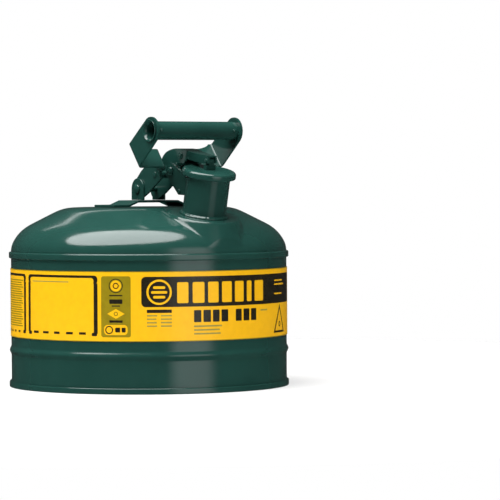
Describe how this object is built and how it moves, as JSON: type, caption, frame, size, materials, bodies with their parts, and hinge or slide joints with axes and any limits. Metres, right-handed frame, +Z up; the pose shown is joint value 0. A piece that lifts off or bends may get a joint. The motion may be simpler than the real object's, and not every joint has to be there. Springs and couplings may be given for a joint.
{
  "type": "safety gas can",
  "caption": "Round steel safety can with a domed top, ribbed wall, tilted spout with a lever-opened self-closing cap, flame screen and a swinging carrying handle.",
  "frame": {"origin": "centre of the base ring, on the surface the can stands on", "axes": "+Z up, +X along the hinge of the handle and of the cap lever, -Y towards the side that the spout pours from"},
  "size_m": [0.2984, 0.2984, 0.2845],
  "materials": {
    "green_enamel": "glossy baked enamel",
    "label_vinyl": "semi-gloss printed vinyl",
    "screen_steel": "woven stainless mesh",
    "zinc_steel": "zinc plated",
    "spring_steel": "bright drawn wire",
    "gasket_rubber": "matt moulded rubber"
  },
  "bodies": {
    "can_body": {"body_shell": "green_enamel", "bottom_pan": "green_enamel", "top_dome": "green_enamel", "spout_neck": "green_enamel", "neck_weld_bead": "green_enamel", "handle_strap": "green_enamel", "pivot_ear_left": "green_enamel", "pivot_ear_right": "green_enamel", "handle_pivot_pin": "green_enamel", "lever_bracket_left": "green_enamel", "lever_bracket_right": "green_enamel", "lever_pivot_pin": "green_enamel", "bracket_cross_pin": "green_enamel", "label_band": "label_vinyl", "flame_arrester_screen": "screen_steel", "arrester_retaining_ring": "zinc_steel", "lever_spacer_left": "zinc_steel", "lever_spacer_right": "zinc_steel"},
    "handle": {"handle_side_left": "green_enamel", "handle_side_right": "green_enamel", "grip_tube": "green_enamel", "grip_rivet_left": "green_enamel", "grip_rivet_right": "green_enamel", "handle_rivet": "green_enamel", "handle_spacer": "green_enamel"},
    "cap_and_lever": {"cap_lever": "green_enamel", "lever_rivet": "green_enamel", "lever_stop_pin": "green_enamel", "closing_spring": "spring_steel", "cap_disc": "green_enamel", "cap_gasket": "gasket_rubber", "gasket_retainer": "zinc_steel", "cap_stem": "green_enamel", "cap_pin": "green_enamel"}
  },
  "joints": [
    {"name": "handle_swing", "type": "hinge", "parent": "can_body", "child": "handle", "pos_m": [0, 0, 0.2094], "axis": [-1, 0, 0], "range_deg": [0, 104]},
    {"name": "cap_lever_open", "type": "hinge", "parent": "can_body", "child": "cap_and_lever", "pos_m": [0, -0.0655, 0.2282], "axis": [-1, 0, 0], "range_deg": [0, 24], "stiffness_Nm_per_rad": 0.6, "springref_deg": -34.38}
  ]
}
